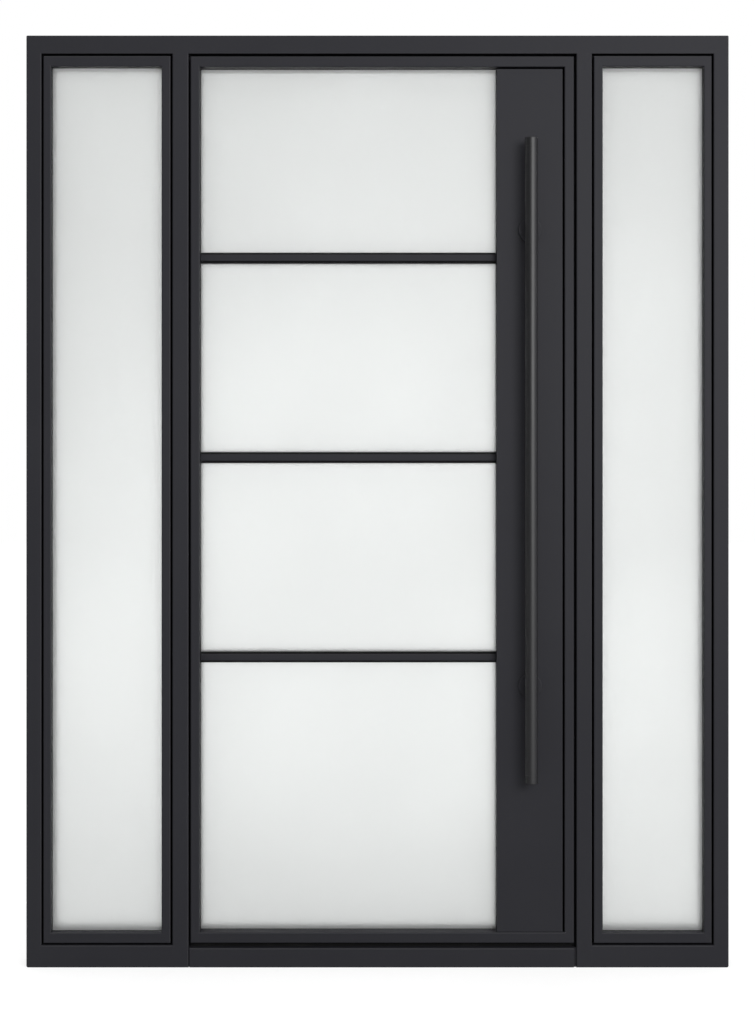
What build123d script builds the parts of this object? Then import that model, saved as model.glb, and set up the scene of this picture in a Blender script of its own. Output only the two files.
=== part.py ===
from build123d import *
import os

# A steel entry door unit: a hinged leaf with four stacked frosted lites, between two fixed sidelights.
# Lengths are in millimetres. +X is to the right seen from outside, -Y faces outside, +Z is up.
# The origin is on the underside of the threshold, in the middle of the unit's width and depth.

# Outer frame
unit_width = 1676.0
unit_height = 2224.0
frame_depth = 80.0
jamb_face = 36.0
head_face = 43.2
sill_face = 52.6
left_light_width = 312.7
left_mullion_face = 38.3
doorway_width = 925.8
right_mullion_face = 36.7
edge_radius = 2.5
fine_radius = 1.0
top_corner_radius = 3.0
foot_corner_radius = 4.5

# Rebate that the leaf closes against
stop_depth = 22.0
rebate_width = 15.0
threshold_height = 46.0
threshold_step = 31.0
threshold_left_groove = 2.6
threshold_right_groove = 6.2
threshold_groove_depth = 7.0
seal_width = 12.5
seal_clearance = 0.3

# Door leaf
hinge_gap = 5.1
lock_gap = 6.6
head_gap = 6.8
bottom_gap = 12.8
floor_clearance = 6.0
stile_face = 21.8
rail_face = 25.1
face_bar_depth = 33.0
flange_width = 14.0

# Sidelight sashes
sash_gap = 4.8
sash_level_gap = 5.6
sash_jamb_face = 18.4
sash_mullion_face = 21.2
sash_rail_face = 25.1
sash_bar_depth = 21.0
packer_recess = 28.0

# Glazing, the same in the leaf and in the sashes
rebate_depth = 12.0
glass_edge_gap = 2.0
gasket_thickness = 3.0
pane_thickness = 5.0
cavity_width = 10.0
spacer_width = 7.0

# Muntins and lock panel
muntin_count = 3
lowest_muntin_height = 737.3
muntin_pitch = 479.5
muntin_face = 15.4
muntin_bar_depth = 7.0
muntin_web = 6.0
muntin_gasket_margin = 5.0
lock_panel_width = 162.0
lock_panel_joint = 5.0
lock_panel_bottom_joint = 1.0
lock_panel_recess = 1.0
lock_panel_back_recess = 8.0

# Pull bars, one on each side of the lock panel
pull_length = 1524.0
pull_diameter = 30.0
pull_height = 1210.0
pull_from_lock_edge = 83.0
pull_offset = 47.0
pull_cap_length = 20.0
standoff_height = 1216.0
standoff_pitch = 1086.0
standoff_diameter = 20.0
rosette_diameter = 56.0
rosette_thickness = 8.0
fitting_radius = 2.0
seam_chamfer = 0.5

# Barrel hinges on the inside face
hinge_heights = (270.0, 1110.0, 1950.0)
barrel_radius = 9.0
barrel_length = 50.0
barrel_standoff = 1.5
pin_radius = 6.0
pin_length = 40.0
pin_clearance = 0.05
pin_end_clearance = 2.0
barrel_lift = 0.3
wing_width = 22.0
wing_thickness = 6.0
wing_inset = 5.0

# Catch in the lock stile, strike in the right mullion
catch_height = 1110.0
catch_plate_length = 90.0
catch_plate_width = 22.0
catch_plate_thickness = 2.5
catch_back_distance = 26.0
strike_extra_length = 20.0
roller_radius = 5.0
roller_proud = 1.0

# Frame anchors through the jambs
anchor_radius = 5.5
anchor_count = 4
anchor_end_distance = 212.0

# Faces of the unit, from the driving dimensions
front = -frame_depth / 2
back = frame_depth / 2
jamb_inner = unit_width / 2 - jamb_face
head_under = unit_height - head_face
left_mullion_x = -jamb_inner + left_light_width
doorway_left = left_mullion_x + left_mullion_face
doorway_right = doorway_left + doorway_width
right_mullion_x = doorway_right + right_mullion_face
wall_left = doorway_left - rebate_width
wall_right = doorway_right + rebate_width
wall_top = head_under + rebate_width
stop_back = front + stop_depth

# Backs of the face bars, where the glazing of the leaf and of the sashes starts
face_back = front + face_bar_depth
sash_face_back = front + sash_bar_depth

# Leaf outlines in the XZ plane, each (left, bottom, right, top)
leaf_face = (
    doorway_left + hinge_gap,
    threshold_height + bottom_gap,
    doorway_right - lock_gap,
    head_under - head_gap,
)
leaf_back = (
    leaf_face[0] - flange_width,
    threshold_step + floor_clearance,
    leaf_face[2] + flange_width,
    leaf_face[3] + flange_width,
)
leaf_opening = (
    leaf_face[0] + stile_face,
    leaf_face[1] + rail_face,
    leaf_face[2] - stile_face,
    leaf_face[3] - rail_face,
)


def grown(outline, amount):
    """An outline moved outward by the same amount on all four sides."""
    left, bottom, right, top = outline
    return (left - amount, bottom - amount, right + amount, top + amount)


def inset(outline, left, bottom, right, top):
    """An outline moved inward by its own amount on each side."""
    return (outline[0] + left, outline[1] + bottom, outline[2] - right, outline[3] - top)


leaf_rebate = grown(leaf_opening, rebate_depth)
panel_left = leaf_opening[2] - lock_panel_width
panel_front = front + lock_panel_recess
panel_back = back - lock_panel_back_recess
pull_x = leaf_opening[2] - pull_from_lock_edge
hinge_x = (wall_left + leaf_back[0]) / 2
hinge_y = back + barrel_standoff + barrel_radius
muntin_heights = [lowest_muntin_height + i * muntin_pitch for i in range(muntin_count)]
anchor_pitch = (unit_height - 2 * anchor_end_distance) / (anchor_count - 1)
anchor_heights = [anchor_end_distance + i * anchor_pitch for i in range(anchor_count)]


def block(x, y, z):
    """A box from its limits along each axis."""
    size = [high - low for low, high in (x, y, z)]
    middle = [(low + high) / 2 for low, high in (x, y, z)]
    return Pos(*middle) * Box(*size)


def plate(outline, y_from, y_to):
    """A flat sheet that fills an outline."""
    left, bottom, right, top = outline
    return block((left, right), (y_from, y_to), (bottom, top))


def ring(outer, inner, y_from, y_to):
    """A flat frame between two outlines."""
    return plate(outer, y_from, y_to) - plate(inner, y_from, y_to)


def edges_at(body, axis, **place):
    """The edges along an axis whose middle lies at the given coordinates."""
    return [
        edge
        for edge in body.edges().filter_by(axis)
        if all(abs(getattr(edge.center(), name) - value) < 1e-4 for name, value in place.items())
    ]


def soften(body, radius, axis, *places):
    """Round the edges along an axis that pass through each place."""
    edges = [edge for place in places for edge in edges_at(body, axis, **place)]
    return fillet(edges, radius)


def section_z(points, bottom, top):
    """A profile given in XY, run from one height to another."""
    face = make_face(Polyline(*[(x, y, bottom) for x, y in points], close=True))
    return extrude(face, amount=top - bottom, dir=(0, 0, 1))


def mitred_side(side, outer, inner, y_from, y_to):
    """One side of a rectangular frame, cut at the corners where it meets its neighbours."""
    left, bottom, right, top = outer
    in_left, in_bottom, in_right, in_top = inner
    corners = {
        "left": [(left, bottom), (in_left, in_bottom), (in_left, in_top), (left, top)],
        "right": [(right, bottom), (right, top), (in_right, in_top), (in_right, in_bottom)],
        "top": [(left, top), (in_left, in_top), (in_right, in_top), (right, top)],
        "bottom": [(left, bottom), (right, bottom), (in_right, in_bottom), (in_left, in_bottom)],
    }[side]
    face = make_face(Polyline(*[(x, y_from, z) for x, z in corners], close=True))
    return extrude(face, amount=y_to - y_from, dir=(0, 1, 0))


def softened_side(side, outer, inner, y_from, y_to, y_soft, radius):
    """A mitred side with its two long edges rounded on the face at y_soft."""
    body = mitred_side(side, outer, inner, y_from, y_to)
    axis = Axis.Z if side in ("left", "right") else Axis.X
    return soften(body, radius, axis, {"Y": y_soft})


def leaf_side(side):
    """A stile or rail of the leaf: a face bar outside, stepped out behind to lap over the stop."""
    face_bar = softened_side(side, leaf_face, leaf_opening, front, face_back, front, edge_radius)
    back_bar = softened_side(side, leaf_back, leaf_rebate, face_back, back, back, fine_radius)
    return face_bar + back_bar


def sash_side(side, outer, opening):
    """A stile or rail of a fixed sash: a face bar with a narrow web behind it."""
    face_bar = softened_side(side, outer, opening, front, sash_face_back, front, edge_radius)
    web = mitred_side(side, outer, grown(opening, rebate_depth), sash_face_back, back)
    return face_bar + web


def group(*bodies):
    """Like pieces kept as separate solids of one node."""
    return Compound(children=[solid for body in bodies for solid in body.solids()])


def glass_planes(seat):
    """The outside and inside planes of the unit whose gasket rests at seat."""
    outside = seat + gasket_thickness
    return outside, outside + 2 * pane_thickness + cavity_width


def panes(rebate, seat):
    """The two sheets of an insulated unit."""
    glass = grown(rebate, -glass_edge_gap)
    glass_front, glass_back = glass_planes(seat)
    outside = plate(glass, glass_front, glass_front + pane_thickness)
    inside = plate(glass, glass_back - pane_thickness, glass_back)
    return [outside, inside]


def gaskets(opening, rebate, seat):
    """The strips that hold a unit, outside and inside."""
    glass_front, glass_back = glass_planes(seat)
    return [
        ring(rebate, opening, seat, glass_front),
        ring(rebate, opening, glass_back, glass_back + gasket_thickness),
    ]


def spacer(rebate, seat):
    """The bar round the edge of a unit, between its sheets."""
    glass_front, glass_back = glass_planes(seat)
    outer = grown(rebate, -2 * glass_edge_gap)
    return ring(outer, grown(outer, -spacer_width), glass_front + pane_thickness, glass_back - pane_thickness)


def beads(opening, rebate, seat):
    """The upright and level beads that close a rebate on the inside."""
    bead_front = glass_planes(seat)[1] + gasket_thickness
    left, bottom, right, top = opening
    uprights, levels = [], []
    for x_low, x_high, x_soft in ((rebate[0], left, left), (right, rebate[2], right)):
        bead = block((x_low, x_high), (bead_front, back), (rebate[1], rebate[3]))
        uprights.append(soften(bead, fine_radius, Axis.Z, {"X": x_soft, "Y": back}))
    for z_low, z_high, z_soft in ((rebate[1], bottom, bottom), (top, rebate[3], top)):
        bead = block((left, right), (bead_front, back), (z_low, z_high))
        levels.append(soften(bead, fine_radius, Axis.X, {"Z": z_soft, "Y": back}))
    return uprights, levels


def leaf_lites():
    """Opening and rebate outlines of the leaf's lites, from the bottom up."""
    half_cover = muntin_face / 2 + muntin_gasket_margin
    left, bottom, _, top = leaf_opening
    rebate_left, rebate_bottom, _, rebate_top = leaf_rebate
    lower = [(bottom, rebate_bottom)] + [(z + half_cover, z + muntin_web / 2) for z in muntin_heights]
    upper = [(z - half_cover, z - muntin_web / 2) for z in muntin_heights] + [(top, rebate_top)]
    lites = []
    for (opening_low, rebate_low), (opening_high, rebate_high) in zip(lower, upper):
        opening = (left, opening_low, panel_left, opening_high)
        rebate = (rebate_left, rebate_low, panel_left + rebate_depth, rebate_high)
        lites.append((opening, rebate))
    return lites


def unit_outside():
    """The outside of the whole unit, with its corners and the rim of its front rounded."""
    body = block((-unit_width / 2, unit_width / 2), (front, back), (0, unit_height))
    for radius, z in ((top_corner_radius, unit_height), (foot_corner_radius, 0)):
        body = soften(body, radius, Axis.Y, {"X": -unit_width / 2, "Z": z}, {"X": unit_width / 2, "Z": z})
    return fillet([edge for edge in body.edges() if abs(edge.center().Y - front) < 1e-4], edge_radius)


def square_foot(x, sign):
    """What fills the rounded front edge of an upright at x again, beside the sill rail."""
    return block(sorted((x, x + sign * 2 * edge_radius)), (front, front + 2 * edge_radius), (0, sill_face))


def jamb(side):
    """An upright of the outer frame, mitred to the head, with its anchor holes."""
    outer = (-unit_width / 2, 0, unit_width / 2, unit_height)
    inner = (-jamb_inner, 0, jamb_inner, head_under)
    sign = -1 if side == "left" else 1
    body = mitred_side(side, outer, inner, front, back)
    body = soften(body, edge_radius, Axis.Z, {"X": sign * jamb_inner, "Y": front})
    body = (body + square_foot(sign * jamb_inner, sign)) & unit_outside()
    drill = Rotation(0, 90, 0) * Cylinder(anchor_radius, 2 * jamb_face)
    for height in anchor_heights:
        body -= Pos(sign * (jamb_inner + jamb_face / 2), 0, height) * drill
    return body


def head_rail():
    """The head, rebated over the doorway."""
    outer = (-unit_width / 2, 0, unit_width / 2, unit_height)
    inner = (-jamb_inner, 0, jamb_inner, head_under)
    body = mitred_side("top", outer, inner, front, back) & unit_outside()
    return body - block((wall_left, wall_right), (stop_back, back), (head_under, wall_top))


def left_mullion():
    """The mullion that carries the hinges, with its stop towards the doorway."""
    body = section_z(
        [
            (left_mullion_x, front),
            (doorway_left, front),
            (doorway_left, stop_back),
            (wall_left, stop_back),
            (wall_left, back),
            (left_mullion_x, back),
        ],
        0,
        head_under,
    )
    body = soften(
        body, edge_radius, Axis.Z, {"X": left_mullion_x, "Y": front}, {"X": doorway_left, "Y": front}
    )
    return (body + square_foot(left_mullion_x, 1)) & unit_outside()


def strike_pocket():
    """The space that the strike plate fills in the right mullion."""
    half = (catch_plate_length + strike_extra_length) / 2
    middle = back - catch_back_distance
    return block(
        (wall_right, wall_right + catch_plate_thickness),
        (middle - catch_plate_width / 2, middle + catch_plate_width / 2),
        (catch_height - half, catch_height + half),
    )


def right_mullion():
    """The mullion on the lock side, with its stop and the pocket for the strike."""
    body = section_z(
        [
            (right_mullion_x, front),
            (right_mullion_x, back),
            (wall_right, back),
            (wall_right, stop_back),
            (doorway_right, stop_back),
            (doorway_right, front),
        ],
        0,
        head_under,
    )
    body = soften(
        body, edge_radius, Axis.Z, {"X": right_mullion_x, "Y": front}, {"X": doorway_right, "Y": front}
    )
    return (body + square_foot(right_mullion_x, -1)) & unit_outside() - strike_pocket()


def sill_rail(x_from, x_to):
    """The rail under a sidelight."""
    body = block((x_from, x_to), (front, back), (0, sill_face))
    return soften(body, edge_radius, Axis.X, {"Y": front, "Z": sill_face}, {"Y": front, "Z": 0})


def threshold():
    """The stepped bar under the leaf, grooved where it meets the mullions."""
    groove_back = front + threshold_groove_depth
    ends = (doorway_left + threshold_left_groove, doorway_right - threshold_right_groove)
    bar = block(ends, (front, groove_back), (0, threshold_height))
    bar = soften(bar, edge_radius, Axis.X, {"Y": front, "Z": threshold_height}, {"Y": front, "Z": 0})
    bar += block((doorway_left, doorway_right), (groove_back, stop_back), (0, threshold_height))
    return bar + block((wall_left, wall_right), (stop_back, back), (0, threshold_step))


def weather_seal():
    """The strip behind the stops that the closed leaf meets, up one side, over and down the other."""
    y_to = face_back - seal_clearance
    outer = block((wall_left, wall_right), (stop_back, y_to), (threshold_step, wall_top))
    inner = block(
        (wall_left + seal_width, wall_right - seal_width),
        (stop_back, y_to),
        (threshold_step, wall_top - seal_width),
    )
    return outer - inner


def catch_pocket():
    """The space that the catch's plate fills in the edge of the lock stile."""
    half = catch_plate_length / 2
    middle = back - catch_back_distance
    return block(
        (leaf_back[2] - catch_plate_thickness, leaf_back[2]),
        (middle - catch_plate_width / 2, middle + catch_plate_width / 2),
        (catch_height - half, catch_height + half),
    )


def roller_catch():
    """The catch's plate with the nose of its roller standing a little proud."""
    middle = back - catch_back_distance
    nose_x = leaf_back[2] + roller_proud - roller_radius
    roller = Pos(nose_x, middle, catch_height) * Cylinder(roller_radius, catch_plate_width)
    shown = block(
        (leaf_back[2] - catch_plate_thickness, leaf_back[2] + roller_radius),
        (front, back),
        (catch_height - catch_plate_width, catch_height + catch_plate_width),
    )
    return catch_pocket() + (roller & shown)


def lock_panel():
    """The closed panel beside the lites, lapped behind the face bars, with a lip over the glass."""
    _, bottom, right, top = leaf_opening
    face_right = right - lock_panel_joint
    face = block(
        (panel_left, face_right),
        (panel_front, face_back),
        (bottom + lock_panel_bottom_joint, top - lock_panel_joint),
    )
    rim = [edge for edge in face.edges() if abs(edge.center().Y - panel_front) < 1e-4]
    face = fillet(rim, fine_radius)
    core = block(
        (panel_left + rebate_depth, leaf_rebate[2]),
        (face_back, panel_back),
        (leaf_rebate[1], leaf_rebate[3]),
    )
    return face + core


def muntin(height):
    """A T-shaped bar between two lites: its face outside, its web between the glass."""
    face = block(
        (leaf_opening[0], panel_left),
        (face_back - muntin_bar_depth, face_back),
        (height - muntin_face / 2, height + muntin_face / 2),
    )
    y_face = face_back - muntin_bar_depth
    face = soften(
        face,
        fine_radius,
        Axis.X,
        {"Y": y_face, "Z": height - muntin_face / 2},
        {"Y": y_face, "Z": height + muntin_face / 2},
    )
    web = block(
        (leaf_rebate[0], panel_left + rebate_depth),
        (face_back, back),
        (height - muntin_web / 2, height + muntin_web / 2),
    )
    return face + web


def bottom_sweep():
    """The strip under the leaf's face bar that closes the gap over the threshold."""
    return block(
        (leaf_face[0], leaf_face[2]),
        (stop_back + seal_clearance, face_back),
        (leaf_back[1], leaf_face[1]),
    )


def pull_bar(side_y, y_axis):
    """A round bar, its two end caps and its two standoffs, square to the panel face at side_y."""
    outward = 1 if y_axis > side_y else -1
    tube_length = pull_length - 2 * pull_cap_length
    round_bar = Pos(pull_x, y_axis, pull_height) * Cylinder(pull_diameter / 2, tube_length)
    tube = chamfer(round_bar.edges().filter_by(GeomType.CIRCLE), seam_chamfer)
    caps = []
    for sign in (-1, 1):
        cap = Cylinder(pull_diameter / 2, pull_cap_length)
        ends = cap.edges().filter_by(GeomType.CIRCLE).sort_by(Axis.Z)
        outer_end = ends[-1] if sign > 0 else ends[0]
        cap = fillet([outer_end], fitting_radius)
        caps.append(Pos(pull_x, y_axis, pull_height + sign * (pull_length - pull_cap_length) / 2) * cap)
    standoffs = []
    stem_length = abs(y_axis - side_y) - rosette_thickness
    for sign in (-1, 1):
        rosette = Cylinder(rosette_diameter / 2, rosette_thickness)
        rosette = fillet(rosette.edges().filter_by(GeomType.CIRCLE).sort_by(Axis.Z)[-1:], fitting_radius)
        stem = Pos(0, 0, rosette_thickness / 2 + stem_length / 2)
        stem = stem * Cylinder(standoff_diameter / 2, stem_length)
        turned = Rotation(-90 * outward, 0, 0) * (rosette + stem)
        height = standoff_height + sign * standoff_pitch / 2
        place = Pos(pull_x, side_y + outward * rosette_thickness / 2, height)
        standoffs.append(place * turned - round_bar)
    return tube, caps, standoffs


def frame_hinge(height):
    """The lower barrel of a hinge with its pin, on a wing welded to the mullion."""
    base = Pos(hinge_x, hinge_y, height - barrel_length / 2)
    barrel = base * Cylinder(barrel_radius, barrel_length)
    pin = Pos(hinge_x, hinge_y, height + pin_length / 2) * Cylinder(pin_radius, pin_length)
    wing = block(
        (hinge_x - wing_width, hinge_x),
        (back, back + wing_thickness),
        (height - barrel_length + wing_inset, height - wing_inset),
    )
    return barrel + pin + wing


def leaf_hinge(height):
    """The upper barrel of a hinge, bored for the pin, on a wing welded to the leaf's stile."""
    low = height + barrel_lift
    barrel = Pos(hinge_x, hinge_y, low + barrel_length / 2) * Cylinder(barrel_radius, barrel_length)
    wing = block(
        (hinge_x, hinge_x + wing_width),
        (back, back + wing_thickness),
        (low + wing_inset, low + barrel_length - wing_inset),
    )
    bore_length = pin_length + pin_end_clearance
    bore = Pos(hinge_x, hinge_y, height + bore_length / 2)
    bore = bore * Cylinder(pin_radius + pin_clearance, bore_length)
    return barrel + wing - bore


def frame_nodes():
    """Everything that stays fixed in the wall."""
    lights = {
        "left": (-jamb_inner, sill_face, left_mullion_x, head_under),
        "right": (right_mullion_x, sill_face, jamb_inner, head_under),
    }
    stile_faces = {"left": (sash_jamb_face, sash_mullion_face), "right": (sash_mullion_face, sash_jamb_face)}
    nodes = {
        "left_jamb": jamb("left"),
        "right_jamb": jamb("right"),
        "head_rail": head_rail(),
        "left_mullion": left_mullion(),
        "right_mullion": right_mullion(),
        "left_sill_rail": sill_rail(-jamb_inner, left_mullion_x),
        "right_sill_rail": sill_rail(right_mullion_x, jamb_inner),
        "threshold": threshold(),
        "weather_seal": weather_seal(),
        "strike_plate": strike_pocket(),
        "frame_hinges": group(*[frame_hinge(height) for height in hinge_heights]),
    }
    uprights, levels, strips, spacers, packers = [], [], [], [], []
    for name, light in lights.items():
        outer = inset(light, sash_gap, sash_level_gap, sash_gap, sash_level_gap)
        left_face, right_face = stile_faces[name]
        opening = inset(outer, left_face, sash_rail_face, right_face, sash_rail_face)
        rebate = grown(opening, rebate_depth)
        stiles = [sash_side(side, outer, opening) for side in ("left", "right")]
        rails = [sash_side(side, outer, opening) for side in ("top", "bottom")]
        nodes[f"{name}_sash_stiles"] = group(*stiles)
        nodes[f"{name}_sash_rails"] = group(*rails)
        nodes[f"{name}_light_glass"] = group(*panes(rebate, sash_face_back))
        light_uprights, light_levels = beads(opening, rebate, sash_face_back)
        uprights += light_uprights
        levels += light_levels
        strips += gaskets(opening, rebate, sash_face_back)
        spacers.append(spacer(rebate, sash_face_back))
        packers.append(ring(light, outer, front + packer_recess, back))
    nodes["sidelight_side_beads"] = group(*uprights)
    nodes["sidelight_cross_beads"] = group(*levels)
    nodes["sidelight_gaskets"] = group(*strips)
    nodes["sidelight_spacers"] = group(*spacers)
    nodes["sidelight_packers"] = group(*packers)
    return nodes


def leaf_nodes():
    """Everything that swings with the leaf."""
    nodes = {
        "hinge_stile": leaf_side("left"),
        "lock_stile": leaf_side("right") - catch_pocket(),
        "leaf_top_rail": leaf_side("top"),
        "leaf_bottom_rail": leaf_side("bottom"),
        "lock_panel": lock_panel(),
        "roller_catch": roller_catch(),
        "bottom_sweep": bottom_sweep(),
        "leaf_hinges": group(*[leaf_hinge(height) for height in hinge_heights]),
    }
    for name, height in zip(("lower", "middle", "upper"), muntin_heights):
        nodes[f"{name}_muntin"] = muntin(height)
    uprights, levels, strips, spacers = [], [], [], []
    for number, (opening, rebate) in enumerate(leaf_lites(), start=1):
        nodes[f"door_glass_{number}"] = group(*panes(rebate, face_back))
        lite_uprights, lite_levels = beads(opening, rebate, face_back)
        uprights += lite_uprights
        levels += lite_levels
        strips += gaskets(opening, rebate, face_back)
        spacers.append(spacer(rebate, face_back))
    nodes["door_side_beads"] = group(*uprights)
    nodes["door_cross_beads"] = group(*levels)
    nodes["door_gaskets"] = group(*strips)
    nodes["door_spacers"] = group(*spacers)
    for name, side_y, y_axis in (
        ("outside", panel_front, panel_front - pull_offset),
        ("inside", panel_back, panel_back + pull_offset),
    ):
        tube, caps, standoffs = pull_bar(side_y, y_axis)
        nodes[f"{name}_pull_bar"] = tube
        nodes[f"{name}_bar_caps"] = group(*caps)
        nodes[f"{name}_standoffs"] = group(*standoffs)
    return nodes


os.makedirs("parts", exist_ok=True)
for node, shape in {**frame_nodes(), **leaf_nodes()}.items():
    export_step(shape, f"parts/{node}.step")
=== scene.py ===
import math

import bpy
from mathutils import Matrix, Vector


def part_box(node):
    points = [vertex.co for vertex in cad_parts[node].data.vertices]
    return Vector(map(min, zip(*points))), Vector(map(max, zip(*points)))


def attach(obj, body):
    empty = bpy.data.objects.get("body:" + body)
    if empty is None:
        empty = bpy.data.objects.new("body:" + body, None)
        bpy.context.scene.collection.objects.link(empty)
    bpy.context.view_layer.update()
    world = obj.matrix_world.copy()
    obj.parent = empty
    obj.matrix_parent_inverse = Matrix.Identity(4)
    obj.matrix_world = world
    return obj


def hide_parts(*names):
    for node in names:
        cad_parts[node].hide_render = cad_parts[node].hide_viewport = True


bl_info = {
    "name": "Steel Entry Door",
    "version": (1, 0, 0),
    "blender": (4, 5, 0),
    "location": "View3D > Sidebar > Entry Door",
    "description": "Dresses a steel entry door with frosted lites, two sidelights and a long pull bar",
    "category": "Object",
}

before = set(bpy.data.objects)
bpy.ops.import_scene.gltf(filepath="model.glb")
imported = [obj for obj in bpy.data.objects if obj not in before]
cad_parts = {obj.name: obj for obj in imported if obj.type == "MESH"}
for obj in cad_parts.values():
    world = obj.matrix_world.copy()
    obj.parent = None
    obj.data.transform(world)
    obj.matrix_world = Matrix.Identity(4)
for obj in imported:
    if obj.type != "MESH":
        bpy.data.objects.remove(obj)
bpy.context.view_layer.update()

STEEL_NODES = (
    "left_jamb", "right_jamb", "head_rail", "left_mullion", "right_mullion",
    "left_sill_rail", "right_sill_rail", "threshold",
    "left_sash_stiles", "left_sash_rails", "right_sash_stiles", "right_sash_rails",
    "sidelight_side_beads", "sidelight_cross_beads",
    "hinge_stile", "lock_stile", "leaf_top_rail", "leaf_bottom_rail", "lock_panel",
    "lower_muntin", "middle_muntin", "upper_muntin", "door_side_beads", "door_cross_beads",
)
BAR_NODES = ("outside_pull_bar", "outside_bar_caps", "inside_pull_bar", "inside_bar_caps")
STANDOFF_NODES = ("outside_standoffs", "inside_standoffs")
HINGE_NODES = ("frame_hinges", "leaf_hinges")
SIDELIGHT_GLASS = ("left_light_glass", "right_light_glass")
DOOR_GLASS = ("door_glass_1", "door_glass_2", "door_glass_3", "door_glass_4")
RUBBER_NODES = ("door_gaskets", "sidelight_gaskets", "sidelight_packers")
SPACER_NODES = ("door_spacers", "sidelight_spacers")
PLATE_NODES = ("strike_plate", "roller_catch")

WHITE = (1, 1, 1, 1)
# Painted shade: the near black laid on the side faces of recesses.
RECESS_PAINTED_SHADE = (0.004, 0.004, 0.005)
# Depths between which painted shade darkens the paint of a recess, and then leaves it again.
RECESS_FRONT = (-0.0375, -0.034)
RECESS_BACK = (-0.009, -0.006)
STEEL_GLOSS = 0.12
BAR_GLOSS = 0.75
GLASS_IOR = 1.25

ROLLER_PROUD = 0.001
STEM_RADIUS = 0.010
STEM_MIDDLE = 0.020
STRIKE_SCREW_INSET = 0.010
CATCH_SCREW_INSET = 0.009
GRUB_SCREW_RADIUS = 0.0027
# Lower and upper end of a hinge wing, from the height of its hinge.
WING_SPANS = {"frame": (-0.045, -0.005), "door_leaf": (0.0053, 0.0453)}
LONG_WELD = 0.040
SHORT_WELD = 0.013
WELD_STEP = 0.0028
SEAL_WIDTH = 0.0125
SWEEP_CARRIER_HEIGHT = 0.009
SWEEP_FIN_THICKNESS = 0.0016

KEY_SIZE = (2.6, 1.8)
KEY_PLACE = (1.65, -4.8, 2.3)
KEY_AIM = (-2.0, 0.0, 2.1)
FLOOR_SIZE = 40.0
# Levels that the glass shows: the backdrop in the middle and how much it falls towards the edges,
# and the floor close to the door, dimmed there as painted shadow, and how much it rises further off.
GLOW_MIDDLE = 1.61
GLOW_FALL = 1.47
FLOOR_NEAR = 0.25
FLOOR_RISE = 0.79


class Wire:
    """A shader value that adds Math nodes when it is used in an expression."""

    def __init__(self, finish, socket):
        self.finish = finish
        self.socket = socket

    def _math(self, operation, first, second):
        return self.finish.add("ShaderNodeMath", {"operation": operation}, [first, second])

    def __add__(self, other):
        return self._math("ADD", self, other)

    def __radd__(self, other):
        return self._math("ADD", other, self)

    def __sub__(self, other):
        return self._math("SUBTRACT", self, other)

    def __rsub__(self, other):
        return self._math("SUBTRACT", other, self)

    def __mul__(self, other):
        return self._math("MULTIPLY", self, other)

    def __pow__(self, other):
        return self._math("POWER", self, other)

    def at_most(self, other):
        return self._math("MINIMUM", self, other)

    def at_least(self, other):
        return self._math("MAXIMUM", self, other)

    def ramped(self, low, high):
        """0 below low, 1 above high and smooth between."""
        settings = {"interpolation_type": "SMOOTHSTEP"}
        return self.finish.add("ShaderNodeMapRange", settings, [self, low, high, 0.0, 1.0])


class Finish:
    """A node tree and the one method that adds nodes to it."""

    def __init__(self, tree):
        self.tree = tree
        tree.nodes.clear()

    def node(self, kind, settings=None, inputs=None):
        """Add a node, set its settings first, then fill its sockets by order or by name."""
        node = self.tree.nodes.new(kind)
        for name, value in (settings or {}).items():
            setattr(node, name, value)
        inputs = inputs or {}
        pairs = enumerate(inputs) if isinstance(inputs, list) else inputs.items()
        for key, value in pairs:
            if isinstance(value, Wire):
                self.tree.links.new(value.socket, node.inputs[key])
            else:
                node.inputs[key].default_value = value
        return node

    def add(self, kind, settings=None, inputs=None, output=0):
        """One output of a new node."""
        return Wire(self, self.node(kind, settings, inputs).outputs[output])

    def surface(self, shader, kind="ShaderNodeOutputMaterial"):
        """End the tree with a shader."""
        self.node(kind, inputs={"Surface": shader})

    def place(self):
        """Object coordinates, in metres."""
        return self.add("ShaderNodeTexCoord", output="Object")

    def parts(self, vector):
        """The X, Y and Z of a vector."""
        split = self.node("ShaderNodeSeparateXYZ", inputs={"Vector": vector})
        return [Wire(self, socket) for socket in split.outputs]

    def ray_kinds(self):
        """1 for camera rays, 1 for rays through glass and 1 for mirror rays."""
        path = self.node("ShaderNodeLightPath")
        kinds = ("Is Camera Ray", "Is Transmission Ray", "Is Glossy Ray")
        return [Wire(self, path.outputs[kind]) for kind in kinds]

    def noise(self, scale, detail=3.0, roughness=0.55, stretch=(1, 1, 1)):
        """Fractal noise, in cycles a metre, stretched along the axes."""
        where = self.place()
        if stretch != (1, 1, 1):
            where = self.add("ShaderNodeMapping", inputs={"Vector": where, "Scale": stretch})
        sockets = {"Vector": where, "Scale": scale, "Detail": detail, "Roughness": roughness}
        return self.add("ShaderNodeTexNoise", inputs=sockets)

    def tint(self, factor, low, high):
        """A colour between two, by a factor."""
        colours = [colour if isinstance(colour, Wire) else (*colour, 1) for colour in (low, high)]
        sockets = {0: factor, 6: colours[0], 7: colours[1]}
        return self.add("ShaderNodeMix", {"data_type": "RGBA"}, sockets, output=2)

    def bump(self, height, distance):
        """A normal that is tilted by a height, in metres at its full reach."""
        return self.add("ShaderNodeBump", inputs={"Height": height, "Distance": distance}, output="Normal")

    def rounded_edges(self, radius):
        """1 along the outside edges of a body and 0 on its faces."""
        soft = self.add("ShaderNodeBevel", {"samples": 4}, {"Radius": radius})
        flat = self.add("ShaderNodeNewGeometry", output="Normal")
        dot = {"operation": "DOT_PRODUCT"}
        likeness = self.add("ShaderNodeVectorMath", dot, [soft, flat], output="Value")
        return ((1.0 - likeness) * 6.0).at_most(1.0).at_least(0.0)


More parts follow.
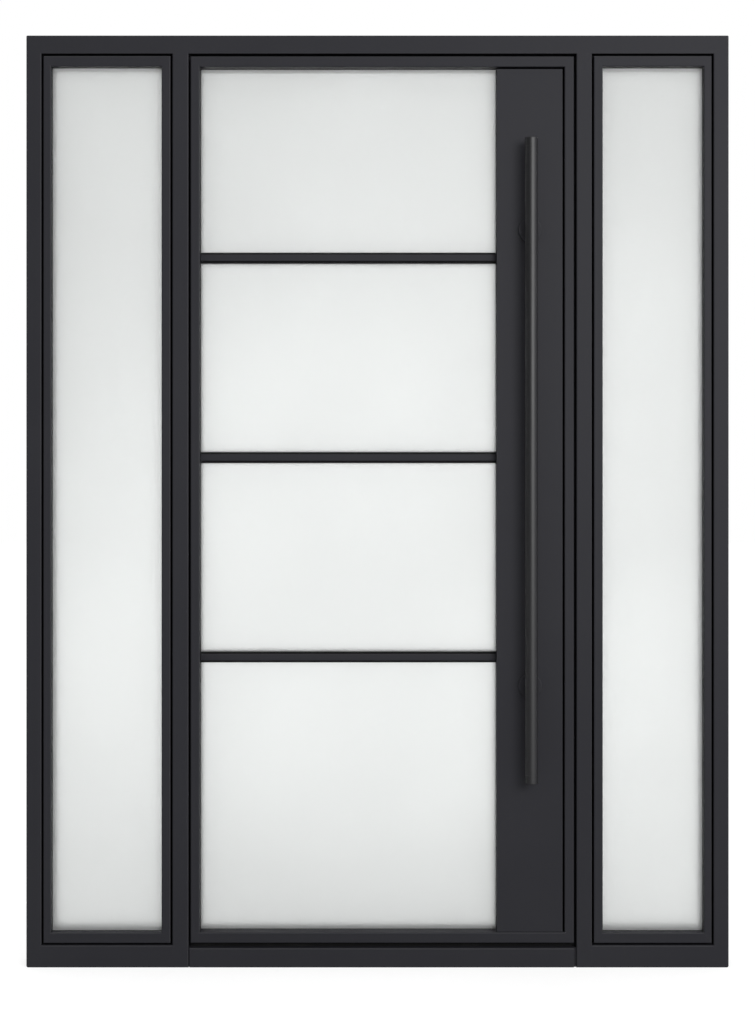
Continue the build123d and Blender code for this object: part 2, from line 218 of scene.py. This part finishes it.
def material(name):
    """A new material and its finish."""
    made = bpy.data.materials.new(name)
    made.use_nodes = True
    return made, Finish(made.node_tree)


def dress(nodes, finish_material):
    """Give CAD nodes a material."""
    for name in nodes:
        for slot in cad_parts[name].material_slots:
            slot.material = finish_material


class SteelSettings(bpy.types.PropertyGroup):
    """The painted steel of the frame, the leaf and the bars."""

    paint: bpy.props.FloatVectorProperty(
        name="Paint", description="Colour of the textured paint", subtype="COLOR",
        size=3, min=0, max=1, default=(0.0278, 0.0278, 0.0330),
    )
    # This colour also carries the painted highlight on slants that look outwards and up or to the right.
    paint_worn_and_highlit: bpy.props.FloatVectorProperty(
        name="Worn and highlit paint", description="Colour where dust and handling lighten the paint",
        subtype="COLOR", size=3, min=0, max=1, default=(0.050, 0.050, 0.055),
    )
    gloss_roughness: bpy.props.FloatProperty(
        name="Roughness", description="How matte the paint is", min=0, max=1, default=0.5,
    )
    grain: bpy.props.FloatProperty(
        name="Grain", description="Size of the paint's texture", unit="LENGTH", default=0.0011,
    )
    bar_paint: bpy.props.FloatVectorProperty(
        name="Bar paint", description="Colour of the pull bars", subtype="COLOR",
        size=3, min=0, max=1, default=(0.0050, 0.0050, 0.0068),
    )
    bar_roughness: bpy.props.FloatProperty(
        name="Bar roughness", description="How matte the pull bars are", min=0, max=1, default=0.48,
    )


class GlassSettings(bpy.types.PropertyGroup):
    """The frosted panes."""

    frost: bpy.props.FloatVectorProperty(
        name="Frost", description="Colour of the etched glass", subtype="COLOR",
        size=3, min=0, max=1, default=(0.984, 0.994, 0.989),
    )
    clearness: bpy.props.FloatProperty(
        name="Clearness", description="Share of light that passes each face of a pane",
        min=0, max=1, default=0.8,
    )
    frost_roughness: bpy.props.FloatProperty(
        name="Frost roughness", description="How strongly a pane scatters light",
        min=0, max=1, default=0.5,
    )


class FittingSettings(bpy.types.PropertyGroup):
    """Screws and welds."""

    screw_radius: bpy.props.FloatProperty(
        name="Screw head", description="Radius of a screw's head", unit="LENGTH", default=0.0035,
    )
    bead_screw_pitch: bpy.props.FloatProperty(
        name="Screw pitch", description="Most distance between the screws of a bead",
        unit="LENGTH", default=0.25,
    )
    hinge_heights: bpy.props.FloatVectorProperty(
        name="Hinges", description="Height of each hinge", unit="LENGTH",
        size=3, default=(0.27, 1.11, 1.95),
    )
    weld_radius: bpy.props.FloatProperty(
        name="Weld", description="Radius of a hinge wing's weld bead", unit="LENGTH", default=0.0022,
    )


class StageSettings(bpy.types.PropertyGroup):
    """Camera, lamp and even light."""

    distance: bpy.props.FloatProperty(
        name="Distance", description="From the camera to the front of the frame",
        unit="LENGTH", default=4.2,
    )
    eye_height: bpy.props.FloatProperty(
        name="Eye height", description="Height of the camera", unit="LENGTH", default=1.223,
    )
    lens: bpy.props.FloatProperty(
        name="Lens", description="Focal length for a 36 mm long side", default=61.9,
    )
    drop: bpy.props.FloatProperty(
        name="Drop", description="Shift of the view as a share of its long side, below 0 to look lower",
        default=-0.0557,
    )
    key_power: bpy.props.FloatProperty(
        name="Key", description="Power of the large lamp at the right", unit="POWER", default=125.0,
    )
    room_light: bpy.props.FloatProperty(
        name="Room", description="Level of the even light all round", default=0.62,
    )


def steel_finish(name, paint, worn_and_highlit, roughness, grain, gloss):
    """Textured powder coat: a fine pebbled grain, faint mottling, lighter and smoother edges. It
    carries a painted highlight on slants that look outwards and up or to the right, and painted
    shade on the side faces of recesses, save those that look up."""
    made, finish = material(name)
    pebbles = finish.noise(1 / grain, detail=2.0, roughness=0.5)
    cloud = finish.noise(3.0, detail=4.0, roughness=0.6)
    dust = finish.noise(38.0, detail=5.0, roughness=0.7, stretch=(1, 1, 0.25))
    edges = finish.rounded_edges(0.0016)
    across, inward, up = finish.parts(finish.add("ShaderNodeTexCoord", output="Normal"))
    # Painted highlight on slants and rounds that look outwards and up or to the right.
    painted_highlight = ((across + up) * inward * -2.0).at_least(0.0)
    depth = finish.parts(finish.place())[1]
    recess = depth.ramped(*RECESS_FRONT) * (1.0 - depth.ramped(*RECESS_BACK))
    # Painted shade on the side faces of recesses, save those that look up.
    painted_recess_shade = recess * (1.0 + inward).at_most(1.0) * (1.0 - up.at_least(0.0))
    # Real edge wear and mottling, plus the painted highlight.
    wear_and_painted_highlight = edges * dust.ramped(0.42, 0.7) * 0.4 + cloud.ramped(0.35, 0.75) * 0.12 + painted_highlight * 0.7
    shader = finish.add(
        "ShaderNodeBsdfPrincipled",
        inputs={
            "Base Color": finish.tint(
                painted_recess_shade * 0.8, finish.tint(wear_and_painted_highlight.at_most(1.0), paint, worn_and_highlit), RECESS_PAINTED_SHADE,
            ),
            "Roughness": roughness + (cloud - 0.5) * 0.1 + (pebbles - 0.5) * 0.08 - edges * 0.05,
            "Specular IOR Level": gloss,
            "Normal": finish.bump(pebbles, 0.00009),
        },
    )
    finish.surface(shader)
    return made


def frost_finish(name, settings):
    """Etched glass: nearly white, softly see-through, with a fine sanded grain."""
    made, finish = material(name)
    grain = finish.noise(1800.0, detail=1.0)
    cloud = finish.noise(1.6, detail=3.0, roughness=0.5)
    frost = tuple(settings.frost)
    deeper = tuple(channel * 0.965 for channel in frost)
    shader = finish.add(
        "ShaderNodeBsdfPrincipled",
        inputs={
            "Base Color": finish.tint(cloud.ramped(0.3, 0.7), deeper, frost),
            "Roughness": settings.frost_roughness + (grain - 0.5) * 0.1,
            "Transmission Weight": settings.clearness,
            "IOR": GLASS_IOR,
            "Specular IOR Level": 0.3,
            "Normal": finish.bump(grain, 0.00003),
        },
    )
    finish.surface(shader)
    return made


def rubber_finish(name):
    """Black rubber with a dull, slightly dusty skin."""
    made, finish = material(name)
    grain = finish.noise(700.0, detail=2.0)
    dust = finish.noise(14.0, detail=4.0, roughness=0.65)
    clean, dusty = (0.0055, 0.0055, 0.006), (0.016, 0.016, 0.016)
    shader = finish.add(
        "ShaderNodeBsdfPrincipled",
        inputs={
            "Base Color": finish.tint(dust.ramped(0.45, 0.8), clean, dusty),
            "Roughness": 0.78 + (grain - 0.5) * 0.15,
            "Specular IOR Level": 0.25,
            "Normal": finish.bump(grain, 0.00005),
        },
    )
    finish.surface(shader)
    return made


def brushed_finish(name, colour, roughness):
    """Metal with fine lines along its length."""
    made, finish = material(name)
    lines = finish.noise(900.0, detail=2.0, stretch=(1, 1, 0.03))
    cloud = finish.noise(20.0, detail=3.0)
    darker = tuple(channel * 0.72 for channel in colour)
    shader = finish.add(
        "ShaderNodeBsdfPrincipled",
        inputs={
            "Base Color": finish.tint(lines * 0.5 + cloud * 0.5, darker, colour),
            "Metallic": 1.0,
            "Roughness": roughness + (lines - 0.5) * 0.22,
            "Normal": finish.bump(lines, 0.00002),
        },
    )
    finish.surface(shader)
    return made


class ENTRYDOOR_OT_paint_steel(bpy.types.Operator):
    """Paint the frame, the sashes, the leaf, the standoffs and the hinges"""

    bl_idname = "entrydoor.paint_steel"
    bl_label = "Paint the Steel"

    def execute(self, context):
        steel = context.scene.door_steel
        paint = steel_finish(
            "textured_black_paint", tuple(steel.paint), tuple(steel.paint_worn_and_highlit),
            steel.gloss_roughness, steel.grain, STEEL_GLOSS,
        )
        dress(STEEL_NODES + STANDOFF_NODES + HINGE_NODES, paint)
        return {"FINISHED"}


class ENTRYDOOR_OT_paint_bars(bpy.types.Operator):
    """Paint the pull bars and their caps"""

    bl_idname = "entrydoor.paint_bars"
    bl_label = "Paint the Pull Bars"

    def execute(self, context):
        steel = context.scene.door_steel
        # The lighter colour serves for wear and for the painted highlight on the front right of the bars.
        worn_and_highlit = tuple(1.6 * channel for channel in steel.bar_paint)
        paint = steel_finish(
            "satin_black_bar", tuple(steel.bar_paint), worn_and_highlit,
            steel.bar_roughness, steel.grain * 0.6, BAR_GLOSS,
        )
        dress(BAR_NODES, paint)
        return {"FINISHED"}


class ENTRYDOOR_OT_frost_glass(bpy.types.Operator):
    """Etch the panes of the leaf and the sidelights"""

    bl_idname = "entrydoor.frost_glass"
    bl_label = "Frost the Glass"

    def execute(self, context):
        dress(SIDELIGHT_GLASS + DOOR_GLASS, frost_finish("etched_glass", context.scene.door_glass))
        return {"FINISHED"}


class ENTRYDOOR_OT_finish_strips(bpy.types.Operator):
    """Finish the gaskets, packers, spacers, strike and catch"""

    bl_idname = "entrydoor.finish_strips"
    bl_label = "Finish Strips and Plates"

    def execute(self, context):
        dress(RUBBER_NODES, rubber_finish("black_rubber"))
        dress(SPACER_NODES, brushed_finish("spacer_aluminium", (0.36, 0.36, 0.37), 0.42))
        dress(PLATE_NODES, brushed_finish("brushed_plate", (0.56, 0.56, 0.57), 0.34))
        return {"FINISHED"}


def clear_selection(kind):
    """Set the kind that is selected, select none of the active mesh and leave edit mode."""
    bpy.ops.object.mode_set(mode="EDIT")
    bpy.ops.mesh.select_mode(type=kind)
    bpy.ops.mesh.select_all(action="DESELECT")
    bpy.ops.object.mode_set(mode="OBJECT")


def select_faces(piece, chosen):
    """Select the faces that pass a test of their centre and normal, and leave edit mode on."""
    clear_selection("FACE")
    for face in piece.data.polygons:
        face.select = chosen(face.center, face.normal)
    bpy.ops.object.mode_set(mode="EDIT")


def select_corners(piece, chosen):
    """Select the corners that pass a test of their place, and leave edit mode on."""
    clear_selection("VERT")
    for corner in piece.data.vertices:
        corner.select = chosen(corner.co)
    bpy.ops.object.mode_set(mode="EDIT")


def pull_out(offset):
    """Extrude the selected faces by an offset."""
    bpy.ops.mesh.extrude_region_move(TRANSFORM_OT_translate={"value": offset})


def apply_place():
    """Move the active object's place, turn and size into its mesh."""
    bpy.ops.object.transform_apply(location=True, rotation=True, scale=True)


def finish_piece(piece, name, finish_material, angle=35.0):
    """Leave edit mode, face everything outwards, shade it and give it its material."""
    bpy.ops.mesh.select_all(action="SELECT")
    bpy.ops.mesh.remove_doubles(threshold=0.00002)
    bpy.ops.mesh.normals_make_consistent(inside=False)
    bpy.ops.object.mode_set(mode="OBJECT")
    apply_place()
    bpy.ops.object.shade_smooth_by_angle(angle=math.radians(angle))
    piece.name = name
    piece.data.materials.clear()
    piece.data.materials.append(finish_material)
    return piece


def add_alone(adder, **settings):
    """Add a primitive with nothing else selected."""
    bpy.ops.object.select_all(action="DESELECT")
    adder(**settings)
    return bpy.context.object


def join_pieces(pieces, name):
    """One object from several."""
    bpy.ops.object.select_all(action="DESELECT")
    for piece in pieces:
        piece.select_set(True)
    bpy.context.view_layer.objects.active = pieces[0]
    if len(pieces) > 1:
        bpy.ops.object.join()
    pieces[0].name = name
    return pieces[0]


def copies(model, places, name):
    """Copies of a piece, each with its own mesh, at places given as matrices. The model goes."""
    made = []
    for place in places:
        copy = model.copy()
        copy.data = model.data.copy()
        copy.data.transform(place)
        bpy.context.scene.collection.objects.link(copy)
        made.append(copy)
    bpy.data.objects.remove(model)
    return join_pieces(made, name)


def facing(point, outward):
    """A place at a point, with a piece's top turned to face outward."""
    turn = Vector(outward).to_track_quat("Z", "Y").to_matrix().to_4x4()
    return Matrix.Translation(point) @ turn


def cad_front():
    """The outside plane of the frame."""
    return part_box("left_jamb")[0][1]


def cad_back():
    """The inside plane of the frame."""
    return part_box("left_jamb")[1][1]


def between_flats(place):
    """Whether a corner of a ring of twelve lies on the middle of a hexagon's flat."""
    turned = math.degrees(math.atan2(place.x, place.y)) % 60
    return abs(turned - 30) < 5


def socket_screw(radius, finish_material):
    """A countersunk screw seen from above: a chamfered head with a hexagon socket, its top just
    above Z 0."""
    proud, depth = radius * 0.12, radius * 0.55
    screw = add_alone(
        bpy.ops.mesh.primitive_cylinder_add, vertices=12, radius=radius, depth=depth,
        end_fill_type="NGON", location=(0, 0, proud - depth / 2),
    )
    top = depth / 2
    select_faces(screw, lambda centre, normal: normal.z > 0.9)
    bpy.ops.mesh.inset(thickness=radius * 0.12)
    bpy.ops.transform.translate(value=(0, 0, radius * 0.08))
    bpy.ops.mesh.inset(thickness=radius * 0.36)
    bpy.ops.object.mode_set(mode="OBJECT")
    select_corners(
        screw, lambda place: place.z > top and place.xy.length < radius * 0.6 and between_flats(place),
    )
    flat = math.cos(math.radians(30))
    bpy.ops.transform.resize(value=(flat, flat, 1), center_override=(0, 0, 0))
    select_faces(screw, lambda centre, normal: normal.z > 0.9 and centre.xy.length < radius * 0.05)
    pull_out((0, 0, -radius * 0.4))
    select_faces(screw, lambda centre, normal: normal.z < -0.9 and centre.z < -top * 0.9)
    bpy.ops.mesh.delete(type="FACE")
    return finish_piece(screw, "screw", finish_material, 25.0)


def stations(low, high, pitch, margin):
    """Even places between two ends, no further apart than a pitch."""
    low, high = low + margin, high - margin
    count = max(2, math.ceil((high - low) / pitch) + 1)
    return [low + (high - low) * i / (count - 1) for i in range(count)]


def bead_screw_places(nodes, pitch):
    """Screw places on the inside beads round each pane."""
    side_inset, level_inset, corner_margin = 0.004, 0.0032, 0.045
    back = cad_back()
    places = []
    for node in nodes:
        low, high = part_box(node)
        for z in stations(low[2], high[2], pitch, corner_margin):
            places += [(low[0] + side_inset, back, z), (high[0] - side_inset, back, z)]
        for x in stations(low[0], high[0], pitch, corner_margin):
            places += [(x, back, low[2] + level_inset), (x, back, high[2] - level_inset)]
    return [facing(place, (0, 1, 0)) for place in places]


class ENTRYDOOR_OT_fit_bead_screws(bpy.types.Operator):
    """Fit the countersunk screws that hold the inside glazing beads"""

    bl_idname = "entrydoor.fit_bead_screws"
    bl_label = "Fit the Bead Screws"

    def execute(self, context):
        fittings = context.scene.door_fittings
        dark = brushed_finish("blackened_screw", (0.10, 0.10, 0.105), 0.4)
        for body, nodes in (("frame", SIDELIGHT_GLASS), ("door_leaf", DOOR_GLASS)):
            places = bead_screw_places(nodes, fittings.bead_screw_pitch)
            screws = copies(socket_screw(fittings.screw_radius, dark), places, f"{body}_bead_screws")
            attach(screws, body)
        return {"FINISHED"}


def plate_screws(plate_box, face, outward, inset, finish_material, name):
    """Two screws in the face of a plate, one near each end."""
    low, high = plate_box
    middle = (low[1] + high[1]) / 2
    places = [facing((face, middle, z), (outward, 0, 0)) for z in (low[2] + inset, high[2] - inset)]
    radius = bpy.context.scene.door_fittings.screw_radius
    return copies(socket_screw(radius, finish_material), places, name)


def grub_screw_places():
    """Places under the stem of each standoff."""
    places = []
    for node in STANDOFF_NODES:
        low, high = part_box(node)
        centre = (low[0] + high[0]) / 2
        rosette = (high[0] - low[0]) / 2
        y = high[1] - STEM_MIDDLE if node == "outside_standoffs" else low[1] + STEM_MIDDLE
        for z in (low[2] + rosette, high[2] - rosette):
            places.append(facing((centre, y, z - STEM_RADIUS), (0, 0, -1)))
    return places


class ENTRYDOOR_OT_fit_plate_screws(bpy.types.Operator):
    """Fit the screws of the strike and the catch, and the grub screws of the pull bars"""

    bl_idname = "entrydoor.fit_plate_screws"
    bl_label = "Fit the Plate Screws"

    def execute(self, context):
        bright = brushed_finish("bright_screw", (0.58, 0.58, 0.59), 0.3)
        dark = bpy.data.materials["blackened_screw"]
        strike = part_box("strike_plate")
        strike_screws = plate_screws(
            strike, strike[0][0], -1, STRIKE_SCREW_INSET, bright, "strike_screws",
        )
        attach(strike_screws, "frame")
        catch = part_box("roller_catch")
        catch_screws = plate_screws(
            catch, catch[1][0] - ROLLER_PROUD, 1, CATCH_SCREW_INSET, bright, "catch_screws",
        )
        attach(catch_screws, "door_leaf")
        grub_screws = copies(
            socket_screw(GRUB_SCREW_RADIUS, dark), grub_screw_places(), "standoff_grub_screws",
        )
        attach(grub_screws, "door_leaf")
        return {"FINISHED"}


def weld_bead(length, radius, finish_material):
    """A rippled fillet of weld along X, as laid in short overlapping steps."""
    end, crest, dip = 0.5, 1.0, 0.84
    steps = max(6, round(length / WELD_STEP))
    step = length / steps
    bead = add_alone(
        bpy.ops.mesh.primitive_circle_add, vertices=8, radius=radius * end, fill_type="NGON",
        location=(-length / 2, 0, 0), rotation=(0, math.radians(90), 0),
    )
    apply_place()
    bpy.ops.object.mode_set(mode="EDIT")
    bpy.ops.mesh.select_all(action="SELECT")
    sizes = [dip if i % 2 else crest for i in range(steps - 1)] + [end]
    size = end
    for i, next_size in enumerate(sizes):
        pull_out((step, 0, 0))
        growth = next_size / size
        centre = (-length / 2 + (i + 1) * step, 0, 0)
        bpy.ops.transform.resize(value=(1, growth, growth), center_override=centre)
        size = next_size
    return finish_piece(bead, "weld", finish_material, 60.0)


class ENTRYDOOR_OT_weld_hinges(bpy.types.Operator):
    """Lay the weld beads round the hinge wings"""

    bl_idname = "entrydoor.weld_hinges"
    bl_label = "Weld the Hinges"

    def execute(self, context):
        fittings = context.scene.door_fittings
        radius = fittings.weld_radius
        paint = bpy.data.materials["textured_black_paint"]
        y = cad_back() + radius * 0.2
        upright = Matrix.Rotation(math.radians(90), 4, "Y")
        wings = {"frame": (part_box("frame_hinges")[0][0], 1), "door_leaf": (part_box("leaf_hinges")[1][0], -1)}
        for body, (edge, inward) in wings.items():
            uprights, levels = [], []
            for height in fittings.hinge_heights:
                bottom, top = (height + reach for reach in WING_SPANS[body])
                uprights.append(Matrix.Translation((edge, y, (bottom + top) / 2)) @ upright)
                for z in (bottom, top):
                    levels.append(Matrix.Translation((edge + inward * SHORT_WELD / 2, y, z)))
            long_welds = copies(weld_bead(LONG_WELD, radius, paint), uprights, "long_welds")
            short_welds = copies(weld_bead(SHORT_WELD, radius, paint), levels, "short_welds")
            welds = join_pieces([long_welds, short_welds], f"{body}_hinge_welds")
            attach(welds, body)
        return {"FINISHED"}


def seal_run(start, end, across, box_low, box_high):
    """A length of bulb seal between two points of its middle line, on a flat foot against the stop."""
    depth = box_high[1] - box_low[1]
    bulb, thick = depth * 0.39, depth * 0.26
    length = (Vector(end) - Vector(start)).length
    middle = (Vector(start) + Vector(end)) / 2
    upright = across == "X"
    tube = add_alone(
        bpy.ops.mesh.primitive_cylinder_add, vertices=14, radius=bulb, depth=length,
        rotation=(0, 0 if upright else math.radians(90), 0),
        location=(middle.x, box_high[1] - bulb, middle.z),
    )
    apply_place()
    foot = add_alone(
        bpy.ops.mesh.primitive_cube_add, size=1.0,
        scale=(SEAL_WIDTH, thick, length) if upright else (length, thick, SEAL_WIDTH),
        location=(middle.x, box_low[1] + thick / 2, middle.z),
    )
    apply_place()
    return join_pieces([tube, foot], "seal_run")


def mitre(piece, corner, normal, keep_behind):
    """Cut a piece on a slanted plane and close the cut."""
    bpy.ops.object.select_all(action="DESELECT")
    piece.select_set(True)
    bpy.context.view_layer.objects.active = piece
    bpy.ops.object.mode_set(mode="EDIT")
    bpy.ops.mesh.select_all(action="SELECT")
    bpy.ops.mesh.bisect(
        plane_co=corner, plane_no=normal, use_fill=True,
        clear_outer=keep_behind, clear_inner=not keep_behind,
    )
    bpy.ops.object.mode_set(mode="OBJECT")


class ENTRYDOOR_OT_run_weather_seal(bpy.types.Operator):
    """Run the bulb seal up one stop, over the doorway and down the other stop"""

    bl_idname = "entrydoor.run_weather_seal"
    bl_label = "Run the Weather Seal"

    def execute(self, context):
        low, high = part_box("weather_seal")
        half = SEAL_WIDTH / 2
        left, right, top = low[0] + half, high[0] - half, high[2] - half
        runs = [
            seal_run((left, 0, low[2]), (left, 0, high[2]), "X", low, high),
            seal_run((right, 0, low[2]), (right, 0, high[2]), "X", low, high),
            seal_run((low[0], 0, top), (high[0], 0, top), "Z", low, high),
        ]
        left_corner, right_corner = (low[0], 0, high[2]), (high[0], 0, high[2])
        mitre(runs[0], left_corner, (1, 0, 1), True)
        mitre(runs[1], right_corner, (-1, 0, 1), True)
        mitre(runs[2], left_corner, (1, 0, 1), False)
        mitre(runs[2], right_corner, (-1, 0, 1), False)
        seal = join_pieces(runs, "bulb_weather_seal")
        bpy.ops.object.mode_set(mode="EDIT")
        finish_piece(seal, "bulb_weather_seal", bpy.data.materials["black_rubber"], 40.0)
        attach(seal, "frame")
        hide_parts("weather_seal")
        return {"FINISHED"}


class ENTRYDOOR_OT_hang_sweep(bpy.types.Operator):
    """Hang the finned sweep under the leaf"""

    bl_idname = "entrydoor.hang_sweep"
    bl_label = "Hang the Sweep"

    def execute(self, context):
        low, high = (Vector(corner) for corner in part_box("bottom_sweep"))
        size = high - low
        middle = (low + high) / 2
        thick = SWEEP_FIN_THICKNESS
        sweep = add_alone(
            bpy.ops.mesh.primitive_cube_add, size=1.0, scale=(size.x, size.y, SWEEP_CARRIER_HEIGHT),
            location=(middle.x, middle.y, high.z - SWEEP_CARRIER_HEIGHT / 2),
        )
        apply_place()
        fins = [low.y, (low.y + high.y - thick) / 2, high.y - thick]
        bpy.ops.object.mode_set(mode="EDIT")
        for y in [edge for fin in fins for edge in (fin, fin + thick)]:
            if low.y + 0.0001 < y < high.y - 0.0001:
                bpy.ops.mesh.select_all(action="SELECT")
                bpy.ops.mesh.bisect(plane_co=(0, y, 0), plane_no=(0, 1, 0))
        bpy.ops.object.mode_set(mode="OBJECT")
        select_faces(
            sweep,
            lambda centre, normal: normal.z < -0.9 and any(fin < centre.y < fin + thick for fin in fins),
        )
        for share in (0.6, 0.4):
            pull_out((0, 0, -(size.z - SWEEP_CARRIER_HEIGHT) * share))
        finish_piece(sweep, "finned_sweep", bpy.data.materials["black_rubber"])
        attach(sweep, "door_leaf")
        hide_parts("bottom_sweep")
        return {"FINISHED"}


class ENTRYDOOR_OT_set_stage(bpy.types.Operator):
    """Place the camera, the lamp, the floor and the light all round"""

    bl_idname = "entrydoor.set_stage"
    bl_label = "Set the Stage"

    def execute(self, context):
        stage = context.scene.door_stage
        camera_data = bpy.data.cameras.new("eye")
        camera_data.lens = stage.lens
        camera_data.sensor_width = 36.0
        camera_data.shift_y = stage.drop
        camera = bpy.data.objects.new("eye", camera_data)
        camera.location = (0, cad_front() - stage.distance, stage.eye_height)
        camera.rotation_euler = (math.radians(90), 0, 0)
        context.scene.collection.objects.link(camera)
        context.scene.camera = camera
        key_lamp(stage.key_power)
        light_room(context.scene, stage.room_light)
        lay_floor()
        return {"FINISHED"}


def key_lamp(power):
    """A very large soft lamp in front, to the right. It isn't seen through the glass."""
    lamp_data = bpy.data.lights.new("key", "AREA")
    lamp_data.shape = "RECTANGLE"
    lamp_data.size, lamp_data.size_y = KEY_SIZE
    lamp_data.energy = power
    lamp = bpy.data.objects.new("key", lamp_data)
    lamp.location = KEY_PLACE
    aim = Vector(KEY_AIM) - lamp.location
    lamp.rotation_euler = aim.to_track_quat("-Z", "Y").to_euler()
    lamp.visible_transmission = False
    bpy.context.scene.collection.objects.link(lamp)


def light_room(scene, level):
    """Soft light, stronger from above. Camera rays meet a white backdrop, and rays through the glass one
    that is brightest in the middle. Mirror rays meet the white backdrop behind the door, and in front
    of it a dark studio with a bright panel at the right and one above."""
    world = bpy.data.worlds.new("studio")
    world.use_nodes = True
    scene.world = world
    finish = Finish(world.node_tree)
    seen, through, mirrored = finish.ray_kinds()
    across, inward, up = finish.parts(finish.add("ShaderNodeTexCoord", output="Generated"))
    soft = (0.7 + up.ramped(-0.2, 0.9) * 0.8) * level
    panel = across.ramped(0.1, 0.4) * (1.0 - across.ramped(0.75, 1.0)) * (0.85 + up.ramped(-0.35, 0.1))
    studio = 0.012 + panel.at_least(up.ramped(0.3, 0.9) * 0.5)
    reflected = studio + (1.0 - studio) * inward.ramped(-0.05, 0.2)
    off_middle = (across * across + up * up) ** 0.5
    beyond = GLOW_MIDDLE - off_middle.ramped(0.0, 0.5) * GLOW_FALL
    plain, mirror, behind, white = (
        finish.add("ShaderNodeBackground", inputs={"Color": WHITE, "Strength": strength})
        for strength in (soft, reflected, beyond, 1.0)
    )
    lit = finish.add("ShaderNodeMixShader", inputs=[mirrored, plain, mirror])
    clear = finish.add("ShaderNodeMixShader", inputs=[through, lit, behind])
    mixed = finish.add("ShaderNodeMixShader", inputs=[seen, clear, white])
    finish.surface(mixed, "ShaderNodeOutputWorld")


def lay_floor():
    """A pale floor that reads as white where no shadow falls. Rays through the glass meet it with a
    painted shadow close to the door, and mirror rays meet it dark in front of the door."""
    floor = add_alone(bpy.ops.mesh.primitive_plane_add, size=FLOOR_SIZE, location=(0, 0, 0))
    floor.name = "floor"
    made, finish = material("pale_floor")
    seen, through, mirrored = finish.ray_kinds()
    diffuse = finish.add("ShaderNodeBsdfDiffuse", inputs={"Color": (0.42, 0.42, 0.42, 1)})
    ahead = finish.parts(finish.place())[1]
    # Painted shadow: for rays through the glass the floor glows less close to the door.
    beyond = through * (FLOOR_NEAR + (ahead * ahead).ramped(0.0, 3.0) * FLOOR_RISE)
    mirror = mirrored * ahead.ramped(-0.3, 0.3) * 0.75
    strength = (seen * 0.7).at_least(beyond).at_least(mirror)
    glow = finish.add("ShaderNodeEmission", inputs={"Color": WHITE, "Strength": strength})
    finish.surface(finish.add("ShaderNodeAddShader", inputs=[diffuse, glow]))
    floor.data.materials.append(made)


class ENTRYDOOR_PT_panel(bpy.types.Panel):
    """Lists the settings and the steps that dress the door"""

    bl_idname = "ENTRYDOOR_PT_panel"
    bl_label = "Entry Door"
    bl_space_type = "VIEW_3D"
    bl_region_type = "UI"
    bl_category = "Entry Door"

    def draw(self, context):
        scene = context.scene
        for group in (scene.door_steel, scene.door_glass, scene.door_fittings, scene.door_stage):
            box = self.layout.box()
            for name in group.__annotations__:
                box.prop(group, name)
        for operator in OPERATORS:
            self.layout.operator(operator.bl_idname)


OPERATORS = (
    ENTRYDOOR_OT_set_stage,
    ENTRYDOOR_OT_paint_steel,
    ENTRYDOOR_OT_paint_bars,
    ENTRYDOOR_OT_frost_glass,
    ENTRYDOOR_OT_finish_strips,
    ENTRYDOOR_OT_fit_bead_screws,
    ENTRYDOOR_OT_fit_plate_screws,
    ENTRYDOOR_OT_weld_hinges,
    ENTRYDOOR_OT_run_weather_seal,
    ENTRYDOOR_OT_hang_sweep,
)
GROUPS = {
    "door_steel": SteelSettings,
    "door_glass": GlassSettings,
    "door_fittings": FittingSettings,
    "door_stage": StageSettings,
}


def register():
    for group in GROUPS.values():
        bpy.utils.register_class(group)
    for operator in OPERATORS:
        bpy.utils.register_class(operator)
    bpy.utils.register_class(ENTRYDOOR_PT_panel)
    for name, group in GROUPS.items():
        setattr(bpy.types.Scene, name, bpy.props.PointerProperty(type=group))


def unregister():
    for name in GROUPS:
        delattr(bpy.types.Scene, name)
    bpy.utils.unregister_class(ENTRYDOOR_PT_panel)
    for operator in reversed(OPERATORS):
        bpy.utils.unregister_class(operator)
    for group in reversed(GROUPS.values()):
        bpy.utils.unregister_class(group)


def main():
    register()
    bpy.context.scene.view_settings.view_transform = "Standard"
    bpy.ops.entrydoor.set_stage()
    bpy.ops.entrydoor.paint_steel()
    bpy.ops.entrydoor.paint_bars()
    bpy.ops.entrydoor.frost_glass()
    bpy.ops.entrydoor.finish_strips()
    bpy.ops.entrydoor.fit_bead_screws()
    bpy.ops.entrydoor.fit_plate_screws()
    bpy.ops.entrydoor.weld_hinges()
    bpy.ops.entrydoor.run_weather_seal()
    bpy.ops.entrydoor.hang_sweep()


if __name__ == "__main__":
    main()
